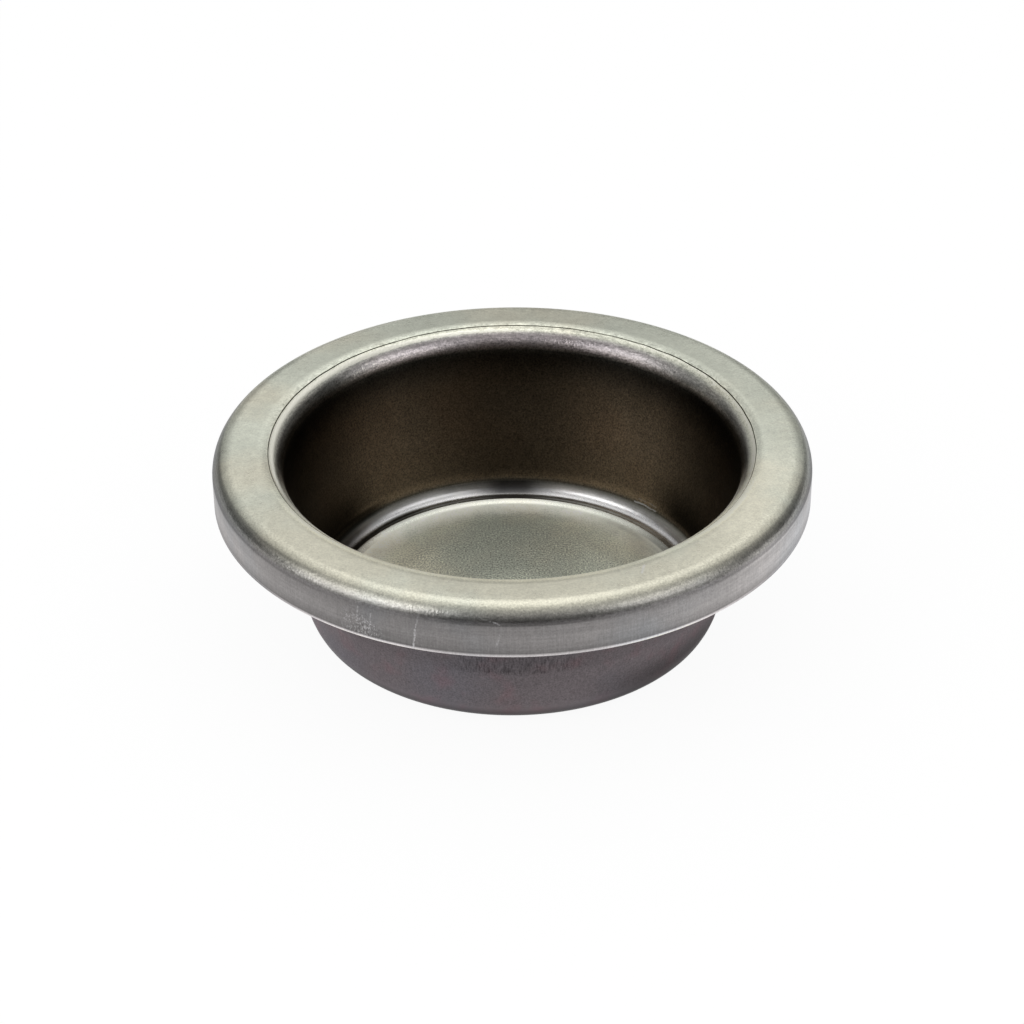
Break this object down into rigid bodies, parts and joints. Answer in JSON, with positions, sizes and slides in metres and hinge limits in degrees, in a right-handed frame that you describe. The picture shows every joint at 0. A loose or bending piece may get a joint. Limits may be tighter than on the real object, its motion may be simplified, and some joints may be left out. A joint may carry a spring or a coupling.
{
  "type": "hub cap",
  "caption": "Round pressed-steel hub cap: a deep tapered cup with a stepped bottom, and a flat flange turned down outside into a press-fit skirt.",
  "frame": {"origin": "centre of the bottom's underside, on the cap's axis", "axes": "+Z along the axis, out of the open mouth; the cap is round, so X and Y are free"},
  "size_m": [0.0635, 0.0634, 0.0211],
  "materials": {
    "pressed_steel": "bare cold-rolled sheet, matte, with draw marks and handling scratches"
  },
  "bodies": {
    "root": {"hub_cap": "pressed_steel"}
  },
  "joints": []
}
